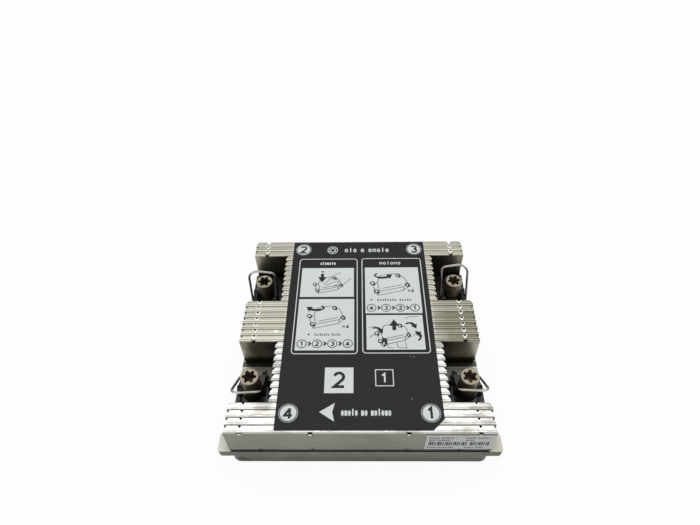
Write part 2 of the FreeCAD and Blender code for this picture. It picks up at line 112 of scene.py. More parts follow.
BASE_SPECKS = (0.16, 0.15, 0.13, 1)
BASE_SCUFF = (0.016, 0.016, 0.014, 1)
BASE_GAP_SHADOW = (0.008, 0.006, 0.004, 1)
BASE_STRIP_SHADE = (0.04, 0.032, 0.02, 1)
BASE_EDGE_HIGHLIGHT = (0.85, 0.83, 0.74, 1)
LOCK_LIP_HIGHLIGHT = ((0.99, 0.985, 0.96, 1), (0.93, 0.92, 0.88, 1))
NUT_SIDE = ((0.13, 0.095, 0.062, 1), (0.25, 0.195, 0.135, 1))
NUT_RING = ((0.30, 0.26, 0.175, 1), (0.46, 0.41, 0.30, 1))
BLACK_PLASTIC = ((0.003, 0.0028, 0.0027, 1), (0.010, 0.009, 0.0085, 1))
WIRE_BAR_HIGHLIGHT = ((0.66, 0.65, 0.60, 1), (0.36, 0.35, 0.31, 1))
WIRE_LEG_SHADE = ((0.27, 0.255, 0.22, 1), (0.13, 0.12, 0.10, 1))
LABEL_FILM = ((0.0080, 0.0080, 0.0088, 1), (0.0150, 0.0150, 0.0162, 1))
SIDE_LABEL_FILM = ((0.425, 0.44, 0.415, 1), (0.485, 0.50, 0.475, 1))
DARK_INK = ((0.012, 0.012, 0.014, 1), (0.022, 0.022, 0.024, 1))
LIGHT_INK = ((0.60, 0.63, 0.62, 1), (0.65, 0.68, 0.67, 1))
GREY_INK = ((0.12, 0.125, 0.125, 1), (0.16, 0.165, 0.165, 1))
RING_INK = ((0.22, 0.222, 0.23, 1), (0.33, 0.333, 0.34, 1))


# Shader nodes


def connect(tree, socket, value):
    """Links a socket, or sets the constant that it holds."""
    if isinstance(value, bpy.types.NodeSocket):
        tree.links.new(value, socket)
    else:
        socket.default_value = value


def add(tree, kind, inputs=None, **settings):
    """A node with its settings and its inputs."""
    node = tree.nodes.new(kind)
    for name, value in settings.items():
        setattr(node, name, value)
    for key, value in (inputs or {}).items():
        connect(tree, node.inputs[key], value)
    return node


def math_node(tree, operation, first, second=0.0):
    """The output of one math node."""
    return add(tree, "ShaderNodeMath", {0: first, 1: second}, operation=operation).outputs[0]


def total(tree, first, *others):
    """The sum of its values."""
    for value in others:
        first = math_node(tree, "ADD", first, value)
    return first


def product(tree, first, *others):
    """The product of its values."""
    for value in others:
        first = math_node(tree, "MULTIPLY", first, value)
    return first


def less(tree, value, amount):
    """A value less another one."""
    return math_node(tree, "SUBTRACT", value, amount)


def higher(tree, first, second):
    """The higher of two values."""
    return math_node(tree, "MAXIMUM", first, second)


def away_from(tree, value, middle=0.0):
    """How far a value lies from a middle one, on either side."""
    return math_node(tree, "ABSOLUTE", less(tree, value, middle))


def ramp(tree, value, low, high, out_low=0.0, out_high=1.0):
    """A value taken from one range to another, and held at its ends."""
    inputs = {0: value, 1: low, 2: high, 3: out_low, 4: out_high}
    return add(tree, "ShaderNodeMapRange", inputs).outputs[0]


def fade(tree, value, low, high):
    """A factor that falls from 1 to 0 between two values."""
    return ramp(tree, value, low, high, 1.0, 0.0)


def band(tree, value, middle, inner, outer, strength=1.0):
    """A factor that is strong near one value and falls off on both sides."""
    return ramp(tree, away_from(tree, value, middle), inner, outer, strength, 0.0)


def spot(tree, across, along, centre, half, strength=1.0):
    """The strength of a small soft-edged oval mark, given by its centre and half sizes in metres."""
    first = math_node(tree, "DIVIDE", less(tree, across, centre[0]), half[0])
    second = math_node(tree, "DIVIDE", less(tree, along, centre[1]), half[1])
    reach = total(tree, math_node(tree, "POWER", first, 2.0), math_node(tree, "POWER", second, 2.0))
    return ramp(tree, reach, 0.6, 1.2, strength, 0.0)


def blend_colours(tree, factor, first, second):
    """A colour between two others, by a mix node's own sockets for colours."""
    inputs = {0: factor, 6: first, 7: second}
    return add(tree, "ShaderNodeMix", inputs, data_type="RGBA").outputs[2]


def darken(tree, colour, factor, shadow=SHADOW):
    """A colour that goes over into a dark one as the factor falls from 1 to 0."""
    return blend_colours(tree, factor, shadow, colour)


def place_in_part(tree):
    """The shading point in the part's own frame, in metres: the vector and its X, Y and Z."""
    place = add(tree, "ShaderNodeTexCoord").outputs["Object"]
    split = add(tree, "ShaderNodeSeparateXYZ", {0: place})
    return place, split.outputs[0], split.outputs[1], split.outputs[2]


def noise(tree, place, size, detail, stretch=(1.0, 1.0, 1.0)):
    """Noise whose grains are about one size across, in metres, and longer along an axis of low stretch."""
    scale = tuple(share / size for share in stretch)
    mapped = add(tree, "ShaderNodeMapping", {"Vector": place, "Scale": scale}).outputs[0]
    inputs = {"Vector": mapped, "Scale": 1.0, "Detail": detail}
    return add(tree, "ShaderNodeTexNoise", inputs).outputs["Fac"]


def bump(tree, height, distance):
    """A normal from a height, where a height of 1 stands one distance high, in metres."""
    inputs = {"Height": height, "Distance": distance, "Strength": 1.0}
    return add(tree, "ShaderNodeBump", inputs).outputs[0]


def facing_up(tree, low, high):
    """How much a surface lies flat, from 0 for an upright one to 1."""
    normal = add(tree, "ShaderNodeTexCoord").outputs["Normal"]
    level = add(tree, "ShaderNodeSeparateXYZ", {0: normal}).outputs[2]
    return ramp(tree, math_node(tree, "ABSOLUTE", level), low, high)


def hollow_shade(tree, distance, low, high, darkest):
    """A factor of painted shade, from ambient occlusion, that falls from 1 to the darkest where the surface
    lies deep in a hollow.
    """
    node = add(tree, "ShaderNodeAmbientOcclusion", {"Distance": distance}, samples=12)
    return ramp(tree, node.outputs["AO"], low, high, darkest, 1.0)


def new_material(name):
    """A material with an empty surface shader."""
    material = bpy.data.materials.new(name)
    material.use_nodes = True
    tree = material.node_tree
    return material, tree, tree.nodes["Principled BSDF"]


def dress_shader(tree, shader, **inputs):
    """Sets a surface shader's inputs by their names, with _ for a space."""
    names = {name.replace(" ", "_"): name for name in shader.inputs.keys()}
    for key, value in inputs.items():
        connect(tree, shader.inputs[names[key]], value)


# The fins' nickel


class FinPlace:
    """Where the shading point lies on the fin stack, in metres, and its share of the way through its row."""

    def __init__(self, tree):
        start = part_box("fin_01")[0]
        self.place, self.across, self.along, up = place_in_part(tree)
        self.outward = away_from(tree, self.across)
        self.depth = less(tree, self.along, start.y)
        self.height = less(tree, up, start.z)
        rows = math_node(tree, "DIVIDE", self.depth, FIN_PITCH)
        self.row = math_node(tree, "FLOOR", rows)
        self.within = math_node(tree, "FRACT", rows)


def cream_tops(tree, at, streaks, crease):
    """The middle and back rows: cream, each row a little different, and dull at the middle rows' right."""
    tone = add(tree, "ShaderNodeTexWhiteNoise", {"W": at.row}, noise_dimensions="1D").outputs[0]
    middle = away_from(tree, at.along, -2.0 * MM)
    right = ramp(tree, at.across, 26.0 * MM, 40.0 * MM)
    dull = product(tree, right, fade(tree, middle, 10.0 * MM, 15.0 * MM))
    shade = total(
        tree,
        product(tree, streaks, 0.46),
        product(tree, tone, ramp(tree, dull, 0.0, 1.0, 0.12, 0.42)),
        product(tree, crease, ramp(tree, streaks, 0.3, 0.7, 0.12, 0.26)),
        product(tree, dull, 0.40),
    )
    cream = blend_colours(tree, ramp(tree, shade, 0.20, 1.0), *CREAM_TOPS)
    # painted highlight along the fold at the front of each row, and a paler band along the label's edge
    row_fold_highlight = band(tree, at.within, 0.15, 0.02, 0.06, 0.45)
    label_edge = band(tree, at.outward, LABEL_EDGE, 0.6 * MM, 1.1 * MM, 0.35)
    return blend_colours(tree, total(tree, row_fold_highlight, label_edge), cream, TOP_LIGHT)


def highlight_tops(tree, at, crumple, crease):
    """The front rows and the front short fins: painted nearly white as a highlight, with crumpled grey
    patches.
    """
    share = ramp(tree, at.across, 10.0 * MM, 45.0 * MM, 0.70, 0.78)
    shade = total(tree, product(tree, crumple, share), product(tree, crease, 0.06))
    return blend_colours(tree, ramp(tree, shade, 0.36, 0.51), *HIGHLIGHT_TOPS)


def mark_tops(tree, at, top):
    """A painted highlight on a dent on the left, painted shade at the bent ends of the long rows and on one
    bent corner at the back right.
    """
    # painted highlight on a dent
    top = blend_colours(tree, spot(tree, at.across, at.along, *DENT_HIGHLIGHT), top, TOP_SPOT_HIGHLIGHT)
    # painted shade at the bent ends of the long rows
    end = ramp(tree, at.outward, 51.8 * MM, 52.2 * MM)
    bent_end_shade = product(tree, end, band(tree, at.within, 0.80, 0.09, 0.19, 0.92))
    top = blend_colours(tree, bent_end_shade, top, TOP_END_SHADE)
    # painted shade on a bent corner at the back right
    return blend_colours(tree, spot(tree, at.across, at.along, *BENT_CORNER, 0.9), top, SHADOW)


def notch_walls(tree, at, cloud, inner, front_wall, back_wall):
    """The upright sheets behind the front one: browner, with painted shade at the foot, at the ends above and
    on the right of the back wall.
    """
    wall = blend_colours(tree, ramp(tree, cloud, 0.42, 0.60), *NOTCH_WALL)
    bright_line = band(tree, at.height, 1.0 * MM, 0.3 * MM, 0.7 * MM, 0.7)
    # painted shade at the foot, left out along a thin line just above the base
    foot = product(tree, fade(tree, at.height, 3.4 * MM, 4.8 * MM), less(tree, 1.0, bright_line), 0.75)
    wall = blend_colours(tree, foot, wall, NOTCH_FOOT_SHADE)
    # painted shade at the upper ends of the sheets, except on the two walls
    tip_shade = product(
        tree,
        ramp(tree, at.outward, 51.4 * MM, 51.9 * MM),
        ramp(tree, at.height, 11.0 * MM, 14.0 * MM),
        inner,
        less(tree, 1.0, higher(tree, front_wall, back_wall)),
        0.85,
    )
    wall = blend_colours(tree, tip_shade, wall, NOTCH_TIPS_SHADE)
    # painted shade on the right part of the back wall
    right = product(tree, back_wall, ramp(tree, at.across, 10.0 * MM, 40.0 * MM), 0.35)
    return blend_colours(tree, right, wall, SHADOW)


def upright_sheets(tree, at, walls):
    """The front sheet, painted a dull grey as shade and darker towards its foot as painted shade, and the
    sheets behind it.
    """
    cloud = noise(tree, at.place, 16.0 * MM, 2.0)
    sheet = blend_colours(tree, ramp(tree, cloud, 0.35, 0.65), *SHADED_FRONT_SHEET)
    sheet = darken(tree, sheet, ramp(tree, at.height, 0.0, 16.0 * MM, 0.80, 1.0))
    sheet = darken(tree, sheet, ramp(tree, at.across, -50.0 * MM, -10.0 * MM, 1.0, 0.87))
    inner = ramp(tree, at.depth, 0.5 * MM, 1.0 * MM)
    return blend_colours(tree, inner, sheet, notch_walls(tree, at, cloud, inner, *walls))


def fin_nickel():
    """Plated fin sheet: bright tops that differ by row, with soft creases along them and a painted highlight
    on the front rows, and sides painted grey as shade.
    """
    material, tree, shader = new_material("fin_nickel")
    at = FinPlace(tree)
    flat = facing_up(tree, 0.35, 0.8)
    streaks = noise(tree, at.place, 3.0 * MM, 2.0, (0.09, 1.3, 0.6))
    crumple = noise(tree, at.place, 5.0 * MM, 3.0, (0.5, 1.1, 1.0))
    crease = band(tree, at.within, 0.42, 0.03, 0.17)

    # painted highlight: the front rows and the short fins at the front are painted whiter than the rest
    front = fade(tree, at.depth, 12.0 * MM, 15.0 * MM)
    short = fade(tree, at.outward, 39.0 * MM, 40.0 * MM)
    short = product(tree, short, fade(tree, at.depth, 38.0 * MM, 48.0 * MM))
    cream = cream_tops(tree, at, streaks, crease)
    top = blend_colours(tree, higher(tree, front, short), cream, highlight_tops(tree, at, crumple, crease))
    seam = ramp(tree, away_from(tree, at.within, 0.5), 0.430, 0.470)
    seam = product(tree, seam, ramp(tree, front, 0.0, 1.0, 0.72, 0.30))
    top = mark_tops(tree, at, blend_colours(tree, seam, top, TOP_SEAM))

    # painted shade: deep places are dark, less so at the left of the back walls, and the crease on the base
    # is painted black
    walls = [band(tree, at.depth, row * FIN_PITCH + 0.2 * MM, 0.6 * MM, 0.9 * MM) for row in WALL_ROWS]
    colour = blend_colours(tree, flat, upright_sheets(tree, at, walls), top)
    back_left = product(tree, walls[1], ramp(tree, at.across, -30.0 * MM, 10.0 * MM, 0.24, 0.0))
    colour = darken(tree, colour, higher(tree, hollow_shade(tree, 9.0 * MM, 0.30, 0.95, 0.08), back_left))
    behind = ramp(tree, at.depth, 1.6 * MM, 1.9 * MM)
    above = ramp(tree, at.height, 2.10 * MM, 2.40 * MM)
    colour = darken(tree, colour, higher(tree, behind, above), FIN_FOOT_SHADOW)

    swell = total(
        tree,
        product(tree, crumple, front, 1.1),
        product(tree, crease, -0.14),
        product(tree, streaks, 0.16),
    )
    dress_shader(
        tree,
        shader,
        Base_Color=colour,
        Metallic=1.0,
        Roughness=ramp(tree, flat, 0.0, 1.0, 0.34, 0.28),
        Normal=bump(tree, swell, 0.30 * MM),
    )
    return material


# The other materials


def base_scuff(tree, across, up, specks):
    """A slanted scuff low on the base's front, near its left end."""
    away = less(tree, across, SCUFF_ACROSS)
    off = total(tree, less(tree, up, SCUFF_UP), product(tree, away, 0.28))
    reach = total(
        tree,
        product(tree, away_from(tree, away), 0.34),
        away_from(tree, off),
        product(tree, specks, 0.7 * MM),
    )
    return fade(tree, reach, 1.5 * MM, 2.2 * MM)


def wall_strips(tree, colour, along, flat):
    """The base's colour with a dark strip of painted shade and a bright edge of painted highlight before each
    wall of the fins.
    """
    for row in WALL_ROWS:
        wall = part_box("fin_01")[0].y + row * FIN_PITCH
        strip = product(
            tree,
            ramp(tree, along, wall - 2.75 * MM, wall - 2.55 * MM),
            fade(tree, along, wall + 0.2 * MM, wall + 0.5 * MM),
            flat,
            0.78,
        )
        colour = blend_colours(tree, strip, colour, BASE_STRIP_SHADE)
        edge = product(tree, band(tree, along, wall - 2.95 * MM, 0.20 * MM, 0.40 * MM, 0.9), flat)
        colour = blend_colours(tree, edge, colour, BASE_EDGE_HIGHLIGHT)
    return colour


def base_nickel():
    """The milled base: satin nickel with fine cutter lines, dull patches and one dark scuff; its front and
    sides are painted darker than its top as shade, with painted shade in hollows.
    """
    material, tree, shader = new_material("base_nickel")
    place, across, along, up = place_in_part(tree)
    low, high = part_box("base_plate")
    lines = noise(tree, place, 0.9 * MM, 2.0, (0.08, 1.0, 1.0))
    patches = noise(tree, place, 12.0 * MM, 4.0)
    specks = noise(tree, place, 0.8 * MM, 2.0)
    flat = facing_up(tree, 0.5, 0.9)
    worn = ramp(tree, patches, 0.35, 0.7)

    # painted shade: the front and sides are darker than the top, and the front darker towards the bottom
    front = darken(tree, blend_colours(tree, worn, *SHADED_BASE_FRONT), ramp(tree, up, 0.0, 7.0 * MM, 0.55, 1.0))
    past_front = ramp(tree, along, low.y + 4.0 * MM, low.y + 7.0 * MM)
    side = blend_colours(tree, past_front, front, blend_colours(tree, worn, *SHADED_BASE_SIDES))
    colour = blend_colours(tree, flat, side, blend_colours(tree, worn, *BASE_LEVEL))
    colour = blend_colours(tree, ramp(tree, specks, 0.62, 0.8, 0.0, 0.35), colour, BASE_SPECKS)
    near_front = fade(tree, along, low.y + 6.0 * MM, low.y + 7.0 * MM)
    scuff = product(tree, base_scuff(tree, across, up, specks), near_front)
    colour = blend_colours(tree, scuff, colour, BASE_SCUFF)

    # painted shadow: the crease under the front sheet is painted black on the base's edge too
    gap_shadow = product(
        tree,
        ramp(tree, up, high.z - 0.50 * MM, high.z - 0.30 * MM),
        fade(tree, along, low.y + 0.6 * MM, low.y + 0.9 * MM),
        fade(tree, away_from(tree, across), 52.4 * MM, 52.7 * MM),
    )
    colour = blend_colours(tree, gap_shadow, colour, BASE_GAP_SHADOW)
    colour = wall_strips(tree, colour, along, flat)
    # painted shade in hollows
    colour = darken(tree, colour, hollow_shade(tree, 12.0 * MM, 0.20, 0.95, 0.10))
    height = total(tree, lines, product(tree, patches, 2.0))
    dress_shader(
        tree,
        shader,
        Base_Color=colour,
        Metallic=1.0,
        Roughness=ramp(tree, patches, 0.3, 0.7, 0.32, 0.44),
        Normal=bump(tree, height, 0.03 * MM),
    )
    return material


def lock_highlight_nickel():
    """The pressed lips of the interlocks, painted nearly white as a highlight with low metalness so that they
    stay bright.
    """
    material, tree, shader = new_material("lock_highlight_nickel")
    grain = noise(tree, place_in_part(tree)[0], 0.6 * MM, 2.0)
    dress_shader(
        tree,
        shader,
        Base_Color=blend_colours(tree, grain, *LOCK_LIP_HIGHLIGHT),
        Metallic=0.55,
        Roughness=ramp(tree, grain, 0.3, 0.7, 0.22, 0.32),
        Normal=bump(tree, grain, 0.02 * MM),
    )
    return material


def nut_bronze():
    """The captive nuts: a pale worn ring on top, and brown sides with painted shade, darker below and towards
    the back left.
    """
    material, tree, shader = new_material("nut_bronze")
    place, across, along, up = place_in_part(tree)
    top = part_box("nut_front_left")[1].z
    grime = noise(tree, place, 1.3 * MM, 3.0)
    side = blend_colours(tree, grime, *NUT_SIDE)
    # painted shade: darker below and towards the back left
    side = darken(tree, side, ramp(tree, up, top - 13.0 * MM, top - 1.0 * MM, 0.30, 1.0))
    back_left = less(tree, product(tree, along, 1.4), across)
    side = darken(tree, side, ramp(tree, back_left, -30.0 * MM, 60.0 * MM, 1.0, 0.30))
    crown = ramp(tree, up, top - 0.45 * MM, top - 0.05 * MM)
    dress_shader(
        tree,
        shader,
        Base_Color=blend_colours(tree, crown, side, blend_colours(tree, grime, *NUT_RING)),
        Metallic=0.45,
        Roughness=ramp(tree, grime, 0.3, 0.7, 0.34, 0.5),
        Normal=bump(tree, grime, 0.04 * MM),
    )
    return material


def black_plastic():
    """Moulded black plastic with a shine."""
    material, tree, shader = new_material("retainer_black")
    place = place_in_part(tree)[0]
    skin = noise(tree, place, 0.5 * MM, 2.0)
    sag = noise(tree, place, 5.0 * MM, 2.0)
    dress_shader(
        tree,
        shader,
        Base_Color=blend_colours(tree, sag, *BLACK_PLASTIC),
        Roughness=ramp(tree, sag, 0.3, 0.7, 0.09, 0.20),
        Specular_IOR_Level=0.4,
        Normal=bump(tree, total(tree, product(tree, skin, 0.05), sag), 0.05 * MM),
    )
    return material


def wire_steel():
    """Drawn spring wire: a bar painted bright as a highlight and legs painted duller as shade, darker still
    on the left, with painted shade in hollows.
    """
    material, tree, shader = new_material("wire_steel")
    place, across = place_in_part(tree)[:2]
    drawn = noise(tree, place, 0.5 * MM, 2.0)
    leg = blend_colours(tree, drawn, *WIRE_LEG_SHADE)
    leg = darken(tree, leg, ramp(tree, across, -10.0 * MM, 10.0 * MM, 0.45, 1.0))
    from_nut = away_from(tree, away_from(tree, across), NUT_ACROSS)
    bar = blend_colours(tree, drawn, *WIRE_BAR_HIGHLIGHT)
    colour = blend_colours(tree, ramp(tree, from_nut, 4.4 * MM, 6.2 * MM), bar, leg)
    dress_shader(
        tree,
        shader,
        Base_Color=darken(tree, colour, hollow_shade(tree, 5.0 * MM, 0.35, 0.80, 0.12)),
        Metallic=1.0,
        Roughness=ramp(tree, drawn, 0.3, 0.7, 0.20, 0.3),
        Normal=bump(tree, drawn, 0.01 * MM),
    )
    return material


def film(name, tones, roughness=0.5, grain=0.5 * MM):
    """Printed film or ink: two close tones in a fine grain, with a soft sheen."""
    material, tree, shader = new_material(name)
    place = place_in_part(tree)[0]
    fine = noise(tree, place, grain, 3.0)
    broad = noise(tree, place, 20.0 * MM, 2.0)
    share = total(tree, product(tree, fine, 0.7), product(tree, broad, 0.3))
    dress_shader(
        tree,
        shader,
        Base_Color=blend_colours(tree, ramp(tree, share, 0.35, 0.65), *tones),
        Roughness=roughness,
        Specular_IOR_Level=0.25,
        Normal=bump(tree, fine, 0.006 * MM),
    )
    return material


# Flat shapes, in millimetres. A shape is a list of polygons that don't overlap.


def arc(x, y, wide, high, start, stop, count=14):
    """Points along an elliptical arc, from one angle in degrees to another."""
    turn = [math.radians(start + (stop - start) * i / count) for i in range(count + 1)]
    return [(x + wide * math.cos(a), y + high * math.sin(a)) for a in turn]


def disc(x, y, radius, count=40):
    """A filled circle."""
    return [arc(x, y, radius, radius, 0, 360, count)[:-1]]


def box_shape(left, right, low, high):
    """A filled rectangle."""
    return [[(left, low), (right, low), (right, high), (left, high)]]


def ribbon(points, width, closed=False):
    """A line of one width through the points, mitred at its corners."""
    count = len(points)
    sides = []
    for i, (x, y) in enumerate(points):
        before = points[i - 1] if i > 0 or closed else points[i]
        after = points[(i + 1) % count] if i < count - 1 or closed else points[i]
        first = Vector((x - before[0], y - before[1]))
        second = Vector((after[0] - x, after[1] - y))
        first = first.normalized() if first.length else second.normalized()
        second = second.normalized() if second.length else first
        mean = (first + second).normalized()
        across = Vector((-mean.y, mean.x))
        reach = width / 2 / max(0.35, across.dot(Vector((-first.y, first.x))))
        sides.append((Vector((x, y)) + across * reach, Vector((x, y)) - across * reach))
    last = count if closed else count - 1
    quads = []
    for i in range(last):
        a, b = sides[i], sides[(i + 1) % count]
        quads.append([tuple(a[1]), tuple(b[1]), tuple(b[0]), tuple(a[0])])
    return quads


def ring(x, y, radius, width, count=40):
    """A circle drawn as a line."""
    return ribbon(arc(x, y, radius, radius, 0, 360, count)[:-1], width, closed=True)


def round_frame(left, right, low, high, corner, width):
    """A rectangle with round corners, drawn as a line."""
    points = []
    for x, y, start in (
        (right - corner, low + corner, -90),
        (right - corner, high - corner, 0),
        (left + corner, high - corner, 90),
        (left + corner, low + corner, 180),
    ):
        points += arc(x, y, corner, corner, start, start + 90, 6)
    return ribbon(points, width, closed=True)


def digit(number, x, y, height, width):
    """A plain digit drawn with strokes, centred on a point. It returns one shape for each stroke."""
    strokes = {
        1: [[(-0.20, 0.24), (0.04, 0.46), (0.04, -0.50)]],
        2: [arc(0, 0.20, 0.27, 0.27, 165, -42, 10) + [(-0.27, -0.44), (0.31, -0.44)]],
        3: [
            arc(0, 0.23, 0.24, 0.22, 150, -90, 10),
            arc(0, -0.20, 0.27, 0.25, 90, -150, 10),
        ],
        4: [[(0.12, -0.50), (0.12, 0.42), (-0.31, -0.22), (0.34, -0.22)]],
    }[number]
    shapes = []
    for stroke in strokes:
        points = [(x + u * height, y + v * height) for u, v in stroke]
        if number == 4:
            shapes.append(ribbon(points[:2], width))
            shapes.append(ribbon(points[1:], width))
        else:
            shapes.append(ribbon(points, width))
    return shapes


def letter_shape(kind, x, low, wide, high):
    """A stand-in for one printed letter: a stem, a ring or an arch."""
    stroke = 0.19 * high
    middle, half, top = x + wide / 2, (wide - stroke) / 2, low + 0.74 * high - stroke / 2
    if kind == "stem":
        return box_shape(middle - stroke / 2, middle + stroke / 2, low, low + high)
    if kind == "ring":
        points = arc(middle, (low + top + stroke / 2) / 2, half, (top - low) / 2, 0, 360, 16)[:-1]
        return ribbon(points, stroke, closed=True)
    left, right = middle - half, middle + half
    return ribbon([(left, low), (left, top), (right, top), (right, low)], stroke)


def words(left, right, y, height, letters):
    """A row of shapes that stands where a line of words is printed, from each word's count of letters."""
    kinds = ("stem", "ring", "arch", "ring")
    word_gap = 0.8
    small_print = 1.8
    step = (right - left) / (sum(letters) + word_gap * (len(letters) - 1))
    low = y - height / 2
    shapes = []
    x = left
    for word in letters:
        for letter in range(word):
            if height > small_print:
                kind = kinds[(letter + word) % len(kinds)]
                shapes.append(letter_shape(kind, x + 0.08 * step, low, 0.80 * step, height))
            else:
                tall = height if letter % 3 == 0 else height * 0.74
                shapes.append(box_shape(x + 0.14 * step, x + 0.72 * step, low, low + tall))
            x += step
        x += word_gap * step
    return shapes


def chevron(x, y, size, width):
    """A small mark that points right, given by its middle."""
    return ribbon([(x - size / 2, y + size), (x + size / 2, y), (x - size / 2, y - size)], width)


def head(x, y, angle, size):
    """An arrow's head with its tip at a point."""
    turn = math.radians(angle)
    ahead = Vector((math.cos(turn), math.sin(turn)))
    across = Vector((-ahead.y, ahead.x))
    tip = Vector((x, y))
    back = tip - ahead * size
    return [[tuple(tip), tuple(back + across * size * 0.62), tuple(back - across * size * 0.62)]]


def straight_arrow(x, y, angle, length, width, size):
    """A thick arrow: tip, head and shaft."""
    turn = math.radians(angle)
    ahead = Vector((math.cos(turn), math.sin(turn)))
    tip = Vector((x, y))
    shaft = [tuple(tip - ahead * size * 0.9), tuple(tip - ahead * length)]
    return [head(x, y, angle, size), ribbon(shaft, width)]


def turn_arrow(x, y, wide, high, start, stop, width, size):
    """An arrow bent round an ellipse, thinner at its tail."""
    points = arc(x, y, wide, high, start, stop, 16)
    shapes = [ribbon(points[:9], width * 0.6), ribbon(points[8:], width)]
    last, before = points[-1], points[-2]
    angle = math.degrees(math.atan2(last[1] - before[1], last[0] - before[0]))
    ahead = (math.cos(math.radians(angle)), math.sin(math.radians(angle)))
    shapes.append(head(last[0] + ahead[0] * size * 0.8, last[1] + ahead[1] * size * 0.8, angle, size))
    return shapes


def block_drawing(x, y, scale):
    """A slanted block with four round knobs, drawn in thin lines: (thin lines, knobs)."""

    def at(*points):
        return [(x + u * scale, y + v * scale) for u, v in points]

    thin = 0.34
    top = at((-3.6, -3.4), (5.6, -1.2), (7.2, 0.6), (5.6, 4.0), (2.2, 5.6), (-3.2, 4.6), (-4.6, 1.0))
    shapes = [
        ribbon(top, thin, closed=True),
        ribbon(at((-4.4, -5.4), (5.4, -3.0), (7.4, -1.0), (7.2, 0.6)), thin),
        ribbon(at((-3.6, -3.4), (-4.4, -5.4)), thin),
        ribbon(at((5.6, -1.2), (5.4, -3.0)), thin),
        ribbon(at((-2.8, -2.0), (5.0, -0.2)), thin),
        ribbon(at((-4.6, 1.0), (-6.2, -0.4), (-5.4, -3.8), (-4.4, -5.4)), thin),
    ]
    knobs = []
    for u, v in ((-5.0, -3.4), (-6.4, 0.6), (7.0, -0.2), (3.6, 4.6)):
        cx, cy = at((u, v))[0]
        knobs.append(ring(cx, cy, 0.80 * scale, 0.40 * scale, 20))
        knobs.append(disc(cx + 0.6 * scale, cy - 0.6 * scale, 0.50 * scale, 14))
    return shapes, knobs


def piece_of(name, polygons, material, body):
    """One piece made of separate polygons, each a row of points in metres."""
    vertices = [point for polygon in polygons for point in polygon]
    faces = []
    count = 0
    for polygon in polygons:
        faces.append(list(range(count, count + len(polygon))))
        count += len(polygon)
    mesh = bpy.data.meshes.new(name)
    mesh.from_pydata(vertices, [], faces)
    mesh.materials.append(material)
    piece = bpy.data.objects.new(name, mesh)
    bpy.context.scene.collection.objects.link(piece)
    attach(piece, body)


def flat_piece(name, shapes, material, lift, place):
    """One thin printed piece of the fixed body, made of flat shapes laid at one lift."""
    polygons = []
    for number, shape in enumerate(shapes):
        level = lift + INK_STEP * (number % INK_LEVELS)
        polygons += [[place(x * MM, y * MM, level) for x, y in polygon] for polygon in shape]
    piece_of(name, polygons, material, "root")


# The labels' print, from the middle of the top label's front edge


class LabelPrint:
    """The top label's print, one list of shapes for each ink."""

    def __init__(self):
        self.light, self.grey, self.dark, self.rings = [], [], [], []


def sequence(numbers, left, right, y):
    """Digits in circles from left to right, with marks between: dark shapes."""
    shapes = []
    step = (right - left) / (len(numbers) - 1)
    for i, number in enumerate(numbers):
        x = left + step * i
        shapes.append(ring(x, y, 2.05, 0.34))
        shapes += digit(number, x, y, 2.2, 0.50)
        if i:
            shapes.append(chevron(x - step / 2, y, 0.95, 0.72))
    return shapes


def corner_discs(ink):
    """The four light discs with the nuts' numbers, each in a grey ring."""
    for x, y, number in ((-28.2, 8.36, 4), (28.2, 8.36, 1), (-28.2, 98.16, 2), (28.2, 98.16, 3)):
        ink.light.append(disc(x, y, 3.30))
        ink.rings.append(ring(x, y, 3.78, 0.44))
        ink.dark += digit(number, x, y, 4.6, 0.95)


def panels(ink):
    """Two framed panels, each with a head line and two light fields."""
    ink.light.append(round_frame(-29.4, -0.8, 35.7, 91.5, 1.5, 0.42))
    ink.light.append(round_frame(1.6, 30.8, 36.0, 91.7, 1.5, 0.42))
    for left, right, low, high in (
        (-28.0, -2.4, 67.1, 85.4),
        (-28.1, -2.2, 37.4, 65.8),
        (3.0, 29.2, 57.3, 85.6),
        (3.3, 28.9, 37.7, 56.3),
    ):
        ink.light.append(box_shape(left, right, low, high))
    ink.light += words(-19.2, -11.4, 88.6, 2.1, (7,))
    ink.light += words(10.2, 21.0, 88.7, 2.1, (6,))


def head_line(ink):
    """A star socket's sign and a line of words at the back edge."""
    x, y = -13.3, 97.7
    ink.light.append(ring(x, y, 2.45, 0.40))
    star = []
    for turn in range(12):
        angle = math.radians(30 * turn)
        reach = 1.75 if turn % 2 else 1.05
        star.append((x + reach * math.cos(angle), y + reach * math.sin(angle)))
    ink.light.append(ribbon(star, 0.42, closed=True))
    ink.light += words(-7.3, 15.6, 97.8, 3.0, (3, 1, 5))


def front_marks(ink):
    """Two squares with a digit, and the arrow with its words."""
    ink.light.append(box_shape(-14.4, -2.4, 17.0, 28.9))
    ink.dark += digit(2, -8.4, 23.0, 7.0, 1.3)
    frame = [(6.8, 20.3), (14.1, 20.3), (14.1, 27.8), (6.8, 27.8)]
    ink.light.append(ribbon(frame, 0.4, closed=True))
    ink.light += digit(1, 10.4, 24.0, 4.2, 0.7)
    tip, notch = (-16.0, 8.8), (-10.8, 8.8)
    ink.light.append([[tip, notch, (-9.8, 12.7)], [tip, (-9.9, 4.8), notch]])
    ink.light += words(-7.4, 12.7, 8.7, 2.9, (5, 2, 6))


def block(ink, x, y, scale, arrow):
    """The drawing of the block with its knobs, and an arrow over it."""
    lines, knobs = block_drawing(x, y, scale)
    ink.grey += lines
    ink.dark += knobs + arrow


